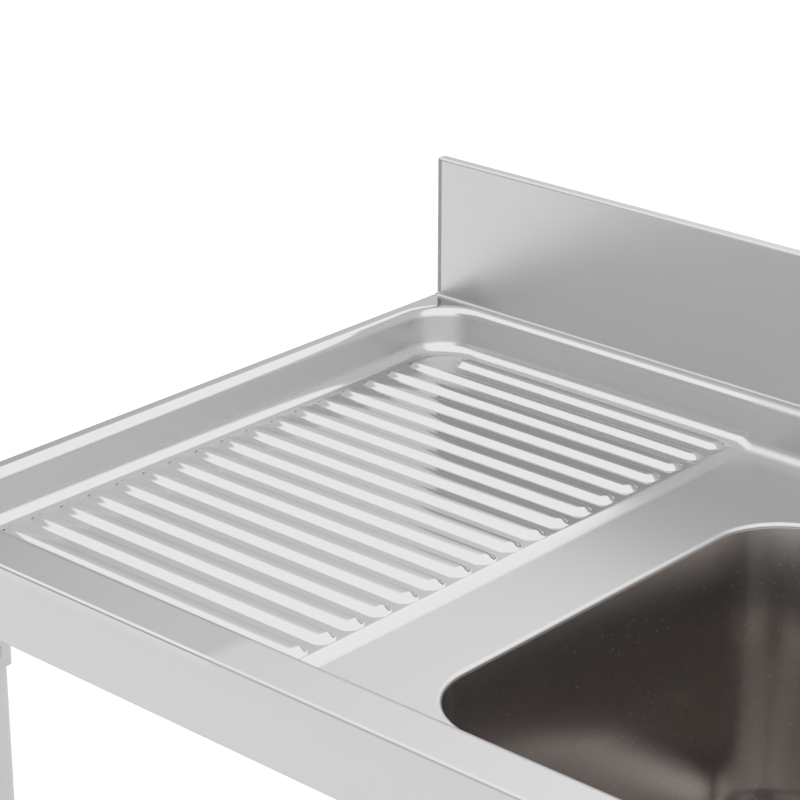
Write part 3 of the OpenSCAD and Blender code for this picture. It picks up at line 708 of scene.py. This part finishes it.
def thread(radius, deep, pitch, low, high):
    """The outline of a screw thread from one height to another, going up."""
    turns = int((high - low) / pitch)
    outline = [(radius - deep, low)]
    for k in range(turns):
        z = low + k * pitch
        outline += [(radius - deep, z + 0.1 * pitch), (radius, z + 0.5 * pitch), (radius, z + 0.6 * pitch)]
    return outline + [(radius - deep, low + turns * pitch)]


def hexagon(name, radius, height, edge):
    """A hexagon that stands on the origin, with its edges broken."""
    piece = start_disc(name, radius, 0, 0, 0, corners=6)
    extrude_up(height)
    select(lambda side: abs(side.verts[0].co.z - side.verts[1].co.z) < edge / 2, "EDGE")
    bpy.ops.mesh.bevel(offset=edge, segments=2)
    face_outwards()
    piece.rotation_euler.z = pi / 2
    bpy.ops.object.transform_apply(rotation=True)
    return piece


def hexagon_screw(name, shaft):
    """A screw whose head stands on the origin, with its thread below."""
    head = hexagon(name, radius=7.52 * mm, height=5.3 * mm, edge=0.5 * mm)
    outline = [(0, -shaft), (3.2 * mm, -shaft)]
    outline += thread(4 * mm, 0.6 * mm, 1.25 * mm, -shaft + 0.3 * mm, -0.3 * mm)
    outline += [(3.4 * mm, 0.5 * mm), (0, 0.5 * mm)]
    join([head, turned("shaft", outline, steps=24)])
    bpy.ops.object.mode_set(mode="OBJECT")
    return head


plain_steel, place = new_material("plain_stainless_fasteners")
marks = add(plain_steel, "TexNoise", {"Vector": place, "Scale": 600, "Detail": 3})
rough = add(plain_steel, "MapRange", {"Value": marks.outputs[0], "To Min": 0.25, "To Max": 0.42})
bump = add(plain_steel, "Bump", {"Height": marks.outputs[0], "Strength": 0.15, "Distance": 0.0002})
show(plain_steel, add(plain_steel, "BsdfPrincipled", {
    "Base Color": to_linear("#bdbbb8"), "Metallic": 1,
    "Roughness": rough.outputs[0], "Normal": bump.outputs[0],
}))
screw_length, head_gap, screw_heights = 5 * mm, 2 * mm, (745 * mm, 769 * mm)
screw = hexagon_screw("screw", screw_length)
screws = []
for name in corners:
    inwards = -1 if "right" in name else 1
    for height in screw_heights:
        spot = leg_place[name] + Vector((inwards * (collar_side / 2 + head_gap), 0))
        screws.append(set_down(screw, "hexagon_socket_screws", (*spot, height), (0, inwards * pi / 2, 0)))
bpy.data.objects.remove(screw)
join(screws)
finish(screws[0], plain_steel, slot="screw_steel", replaced=["socket_screws"])


# Rails: square tube of 30 mm between the legs. The side rails are welded to the legs, with a bead round each
# end, and the one at the back is bolted through the legs into plugs in its ends.
rail_low, rail_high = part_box("rail_left")
back_low, back_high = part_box("rail_back")
rail_side, rail_z, rail_corner = rail_high.x - rail_low.x, (rail_low.z + rail_high.z) / 2, 3 * mm
rail = tube("rail", rail_side, rail_corner, tube_wall, rail_high.y - rail_low.y)
for side, x in (("left", -leg_x), ("right", leg_x)):
    piece = set_down(rail, "rail_tube_" + side, (x, rail_high.y, rail_z), (pi / 2, 0, 0))
    finish(piece, cross_brushed_steel, slot="tube_steel", replaced=["rail_" + side])
bpy.data.objects.remove(rail)
rail = tube("rail", rail_side, rail_corner, tube_wall, back_high.x - back_low.x)
piece = set_down(rail, "rail_tube_back", (back_low.x, leg_y, rail_z), (0, pi / 2, 0))
finish(piece, brushed_steel, slot="tube_steel", replaced=["rail_back"])
bpy.data.objects.remove(rail)
rail_bead = weld_bead("rail_bead", rail_side, rail_corner, 2.5 * mm)
for x in (-leg_x, leg_x):
    beads.append(set_down(rail_bead, "welds", (x, rail_high.y, rail_z), (pi / 2, 0, 0)))
    beads.append(set_down(rail_bead, "welds", (x, rail_low.y, rail_z), (-pi / 2, 0, 0)))
bpy.data.objects.remove(rail_bead)
join(beads)
beads[0].name = beads[0].data.name = "weld_beads"

# Weld metal: brushed clean but rippled, the ripples about 2 mm apart, and a little brown from the heat.
weld_metal, place = new_material("brushed_weld_metal")
ripples = add(weld_metal, "TexVoronoi", {"Vector": place, "Scale": 480})
heat = add(weld_metal, "TexNoise", {"Vector": place, "Scale": 60, "Detail": 2})
tone = add(weld_metal, "MixRGB", {0: heat.outputs[0], 1: to_linear("#b3b0ad"), 2: to_linear("#a39a8e")})
bump = add(weld_metal, "Bump", {"Height": ripples.outputs[0], "Strength": 0.5, "Distance": 0.0005})
show(weld_metal, add(weld_metal, "BsdfPrincipled", {
    "Base Color": tone.outputs[0], "Metallic": 1, "Roughness": 0.4, "Normal": bump.outputs[0],
}))
finish(beads[0], weld_metal, slot="tube_steel")

bolts = []
bolt_in_plug = 22 * mm
bolt = hexagon_screw("bolt", leg_side + bolt_in_plug)
for way in (-1, 1):
    spot = (way * (leg_x + leg_side / 2), leg_y, rail_z)
    bolts.append(set_down(bolt, "hexagon_rail_bolts", spot, (0, way * pi / 2, 0)))
bpy.data.objects.remove(bolt)
join(bolts)
finish(bolts[0], plain_steel, slot="screw_steel", replaced=["rail_bolts"])
dress(plain_steel, "rail_plugs")


# Feet: a threaded plug of black plastic closes the end of each leg, and a steel spindle screws in and out of
# it, with a hexagon for the spanner. It turns in a round pad of the same plastic that stands on the floor.
black_plastic, place = new_material("moulded_black_polypropylene")
grain = add(black_plastic, "TexNoise", {"Vector": place, "Scale": 1200, "Detail": 2})
rough = add(black_plastic, "MapRange", {"Value": grain.outputs[0], "To Min": 0.42, "To Max": 0.58})
bump = add(black_plastic, "Bump", {"Height": grain.outputs[0], "Strength": 0.25, "Distance": 0.0002})
show(black_plastic, add(black_plastic, "BsdfPrincipled", {
    "Base Color": to_linear("#1d1d1e"), "IOR": 1.49,
    "Roughness": rough.outputs[0], "Normal": bump.outputs[0],
}))
insert_low, insert_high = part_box("foot_insert_front_left")
leg_half, collar_top, bore_radius = leg_side / 2, leg_low.z, 6.05 * mm
insert = start_plate("insert", (-leg_half, -leg_half), (leg_half, leg_half), insert_low.z, leg_corner, 5)
extrude_up(collar_top - insert_low.z)
select(lambda edge: max(point.co.z for point in edge.verts) < insert_low.z + 0.1 * mm, "EDGE")
bpy.ops.mesh.bevel(offset=0.8 * mm, segments=3)
select(lambda face: face.calc_center_median().z > collar_top - 0.1 * mm)
press([(1.7 * mm, 0), (0, insert_high.z - collar_top - 3 * mm), (1.5 * mm, 3 * mm)])
face_outwards()
drill = start_disc("drill", bore_radius, 0, 0, insert_low.z - 5 * mm, corners=32)
extrude_up(insert_high.z - insert_low.z + 10 * mm)
face_outwards()
modify(insert, "BOOLEAN", operation="DIFFERENCE", object=drill, solver="EXACT")
bpy.data.objects.remove(drill)

spindle_low, spindle_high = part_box("foot_spindle_front_left")
pad_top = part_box("foot_pad_front_left")[1].z
hexagon_height, stud_radius = 8 * mm, 6 * mm
spindle = hexagon("spindle", radius=11 * mm, height=hexagon_height, edge=0.7 * mm)
spindle.location.z = pad_top
bpy.ops.object.transform_apply(location=True)
outline = [(0, spindle_low.z), (4.5 * mm, spindle_low.z), (5 * mm, spindle_low.z + 0.5 * mm)]
outline += [(5 * mm, pad_top + 1 * mm), (5 * mm, pad_top + hexagon_height - 1 * mm)]
outline += thread(stud_radius, 0.9 * mm, 1.75 * mm, pad_top + hexagon_height, spindle_high.z - 1 * mm)
outline += [(4.6 * mm, spindle_high.z), (0, spindle_high.z)]
join([spindle, turned("stud", outline, steps=24)])
bpy.ops.object.mode_set(mode="OBJECT")

outline = [(x * mm, z * mm) for x, z in (
    (0, 0), (14, 0), (14.5, 0.6), (16, 0.6), (16.5, 0), (19, 0), (19.5, 0.6), (21, 0.6), (21.5, 0), (23.6, 0),
    (24.6, 0.4), (25, 1.5), (25, 5.3), (24.7, 5.9), (24.1, 6.2), (12.9, 9.7), (12.1, 10.1), (11.8, 10.8),
    (11.2, 13.3),
)]
outline += [(10.6 * mm, pad_top), (5.4 * mm, pad_top), (5.05 * mm, pad_top - 0.4 * mm)]
outline += [(5.05 * mm, 4 * mm), (0, 4 * mm)]
pad = turned("pad", outline, steps=64)
for name in corners:
    for master, prefix, material, body, slot, node in (
        (insert, "leg_plug_", black_plastic, "table", "black_plastic", "foot_insert_"),
        (spindle, "threaded_spindle_", plain_steel, "spindle_" + name, "screw_steel", "foot_spindle_"),
        (pad, "swivel_pad_", black_plastic, "foot_" + name, "black_plastic", "foot_pad_"),
    ):
        piece = set_down(master, prefix + name, (*leg_place[name], 0))
        finish(piece, material, body, slot, replaced=[node + name])
for master in (insert, spindle, pad):
    bpy.data.objects.remove(master)


# Outlet: a turned and polished stainless steel body in the seat of the bowl, with a rubber gasket, clamped
# from below by a washer and a plastic back nut. The trap screws on to its thread.
polished_steel, place = new_material("polished_stainless_steel")
grain = add(polished_steel, "TexNoise", {"Vector": place, "Scale": 500, "Detail": 2})
rough = add(polished_steel, "MapRange", {"Value": grain.outputs[0], "To Min": 0.09, "To Max": 0.16})
bump = add(polished_steel, "Bump", {"Height": grain.outputs[0], "Strength": 0.04, "Distance": 0.0002})
show(polished_steel, add(polished_steel, "BsdfPrincipled", {
    "Base Color": to_linear("#cfcdca"), "Metallic": 1,
    "Roughness": rough.outputs[0], "Normal": bump.outputs[0],
}))
rim_top, shank, shank_low = waste_high.z, 24.5 * mm, 536.3 * mm
socket_radius, socket_low_z, ledge_radius = 20 * mm, rim_top - 26 * mm, 15 * mm
outline = [(21 * mm, rim_top - 0.5 * mm), (24 * mm, rim_top - 0.3 * mm), (40 * mm, rim_top)]
outline += [(41.4 * mm, rim_top - 0.3 * mm), (42 * mm, rim_top - 1 * mm), (42 * mm, rim_top - 3 * mm)]
outline += [(shank, rim_top - 3 * mm)]
outline += reversed(thread(shank, 1 * mm, 2.31 * mm, shank_low, rim_top - 4.2 * mm))
outline += reversed(thread(24 * mm, 1 * mm, 2.31 * mm, waste_low.z + 2 * mm, shank_low - 0.5 * mm))
outline += [(22.8 * mm, waste_low.z), (21.6 * mm, waste_low.z), (21.6 * mm, socket_low_z - 2.4 * mm)]
outline += [(ledge_radius, socket_low_z - 2.4 * mm), (ledge_radius, socket_low_z)]
outline += [(socket_radius, socket_low_z), (socket_radius, rim_top - 1.5 * mm)]
outline += [(20.3 * mm, rim_top - 0.9 * mm), (21 * mm, rim_top - 0.5 * mm)]
waste = turned("turned_outlet", outline, waste_x, waste_y, 96)
finish(waste, polished_steel, slot="waste_steel", replaced=["waste_body"])

nut_low, nut_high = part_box("waste_nut")
nut_radius, nut_bore = (nut_high.x - nut_low.x) / 2, shank + 0.05 * mm
hole = start_disc("hole", nut_bore, 0, 0, 0)
bpy.ops.mesh.delete(type="ONLY_FACE")
bpy.ops.object.mode_set(mode="OBJECT")
nut = start_disc("nut", nut_radius, 0, 0, 0, corners=6)
bpy.ops.mesh.delete(type="ONLY_FACE")
join([nut, hole])
fill_between(lambda middle: True)
bpy.ops.mesh.select_all(action="SELECT")
extrude_up(8.2 * mm)
face_outwards()
modify(nut, "BEVEL", width=0.6 * mm, segments=2, limit_method="ANGLE", angle_limit=radians(50))
outline = [(nut_bore, 8 * mm), (nut_radius - 0.6 * mm, 8 * mm), (nut_radius, 8.6 * mm)]
outline += [(nut_radius, 10.5 * mm), (nut_radius - 0.5 * mm, 11 * mm)]
outline += [(nut_bore, 11 * mm), (nut_bore, 8 * mm)]
join([nut, turned("flange", outline, steps=64)])
piece = set_down(nut, "plastic_back_nut", (waste_x, waste_y, nut_low.z), (0, 0, pi / 2))
finish(piece, black_plastic, slot="black_plastic", replaced=["waste_nut"])
bpy.data.objects.remove(nut)

# Rubber: moulded EPDM, matt and a little dusty.
rubber, place = new_material("moulded_black_rubber")
dust = add(rubber, "TexNoise", {"Vector": place, "Scale": 90, "Detail": 4})
tone = add(rubber, "MixRGB", {0: dust.outputs[0], 1: to_linear("#161616"), 2: to_linear("#232322")})
grain = add(rubber, "TexNoise", {"Vector": place, "Scale": 1500, "Detail": 2})
bump = add(rubber, "Bump", {"Height": grain.outputs[0], "Strength": 0.2, "Distance": 0.0002})
show(rubber, add(rubber, "BsdfPrincipled", {
    "Base Color": tone.outputs[0], "Roughness": 0.68, "Normal": bump.outputs[0],
}))
dress(rubber, "waste_gasket", "waste_washer")


# Standpipe: a thin polished tube with a rolled rim to lift it by. It plugs the outlet with a ribbed rubber
# seal at its foot, and the water overflows into its open top.
pipe_low, pipe_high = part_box("standpipe")
pipe_radius, pipe_wall, rolled = 16 * mm, 1.2 * mm, 19 * mm
inner, top_z = pipe_radius - pipe_wall, pipe_high.z
outline = [(pipe_radius - 0.3 * mm, pipe_low.z), (pipe_radius, pipe_low.z + 0.3 * mm)]
outline += [(pipe_radius, top_z - 10 * mm), (pipe_radius + 1.2 * mm, top_z - 9.8 * mm)]
outline += [(rolled - 0.6 * mm, top_z - 9 * mm), (rolled, top_z - 7.4 * mm), (rolled, top_z - 2.8 * mm)]
outline += [(rolled - 0.5 * mm, top_z - 1.2 * mm), (rolled - 1.5 * mm, top_z - 0.3 * mm)]
outline += [(rolled - 2.6 * mm, top_z), (pipe_radius - 0.5 * mm, top_z - 0.3 * mm)]
outline += [(inner, top_z - 1.2 * mm), (inner, pipe_low.z), (pipe_radius - 0.3 * mm, pipe_low.z)]
pipe = turned("rolled_standpipe", outline, waste_x, waste_y, 72)
finish(pipe, polished_steel, body="standpipe", slot="waste_steel", replaced=["standpipe"])

seal_low, seal_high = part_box("standpipe_seal")
seal_radius = (seal_high.x - seal_low.x) / 2
outline = [(pipe_radius, seal_low.z), (seal_radius - 1.6 * mm, seal_low.z)]
outline += [(seal_radius - 1.3 * mm, seal_low.z + 0.4 * mm)]
for k in range(4):
    z = seal_low.z + (1.5 + 3.6 * k) * mm
    ring = seal_radius - (1.3 - 0.4 * k) * mm
    outline += [(ring - 0.6 * mm, z), (ring - 0.05 * mm, z + 1.9 * mm)]
    outline += [(ring, z + 2.5 * mm), (ring - 0.5 * mm, z + 3 * mm)]
outline += [(seal_radius - 0.4 * mm, seal_low.z + 16.4 * mm), (seal_radius - 0.2 * mm, seal_low.z + 18 * mm)]
outline += [(pipe_radius + 0.6 * mm, seal_high.z - 0.3 * mm), (pipe_radius, seal_high.z)]
outline += [(pipe_radius, seal_low.z)]
seal = turned("ribbed_seal", outline, waste_x, waste_y, 72)
finish(seal, rubber, body="standpipe", slot="black_rubber", replaced=["standpipe_seal"])


# Studio: a plain pale floor, white all round, and soft light from the back and above.
bpy.ops.mesh.primitive_plane_add(size=24, location=(-5, 2, 0))
floor = bpy.context.object
floor.name = "studio_floor"
floor_paint, place = new_material("pale_floor_paint")
path = add(floor_paint, "LightPath")
seen = path.outputs["Is Camera Ray"]
for kind in ("Is Glossy Ray", "Is Transmission Ray"):
    seen = add(floor_paint, "Math", {0: seen, 1: path.outputs[kind]}, operation="MAXIMUM").outputs[0]
share = add(floor_paint, "Math", {0: seen, 1: 0.6}, operation="MULTIPLY")
paint = add(floor_paint, "BsdfDiffuse", {"Color": to_linear("#eeeeee")})
glow = add(floor_paint, "Emission", {"Color": to_linear("#ffffff"), "Strength": 1.1})
show(floor_paint, add(floor_paint, "MixShader", {
    0: share.outputs[0], 1: paint.outputs[0], 2: glow.outputs[0],
}))
floor.data.materials.append(floor_paint)

world = bpy.data.worlds.new("studio")
scene.world = world
world.use_nodes = True
world.node_tree.nodes.clear()
direction = add(world, "TexCoord").outputs["Generated"]
path = add(world, "LightPath")


def soft_edge(line, start, end):
    """0 to 1 across a soft straight edge in the surroundings, from start to end along a line."""
    along = add(world, "VectorMath", {0: direction, 1: line}, operation="DOT_PRODUCT").outputs["Value"]
    return add(world, "MapRange", {
        "Value": along, "From Min": start, "From Max": end,
    }, interpolation_type="SMOOTHSTEP").outputs[0]


def both(a, b, operation="MULTIPLY"):
    """Two values multiplied, or put together in another way."""
    return add(world, "Math", {0: a, 1: b}, operation=operation).outputs[0]


# dim at the left, with a wide bright window above it and all round the right, and a grey border between them
window_line = (0.826, 0.156, 0.542)
dim_level, border_step, window_step = 0.55, 0.25, 0.5
window = both(soft_edge(window_line, -0.14, -0.095), window_step)
border = both(soft_edge(window_line, -0.32, -0.2), border_step)
level = both(both(window, border, "ADD"), dim_level, "ADD")
# a darker room in front at the left, below a bright ceiling, and white where the camera sees it
room_level, ceiling_level, seen_level = 0.6, 1.28, 1.0
room = both(soft_edge((0, 1, 0), -0.08, -0.18), soft_edge((1, 0, 0), 0.3, 0.1))
ceiling = soft_edge((0, 0, 1), 0.48, 0.6)
for where, value in (
    (room, room_level), (ceiling, ceiling_level), (path.outputs["Is Camera Ray"], seen_level),
):
    level = add(world, "Mix", {0: where, 2: level, 3: value}, data_type="FLOAT").outputs[0]
glow = add(world, "Background", {"Color": to_linear("#ffffff"), "Strength": level})
add(world, "OutputWorld", {"Surface": glow.outputs[0]})

scene.view_settings.view_transform = "Standard"
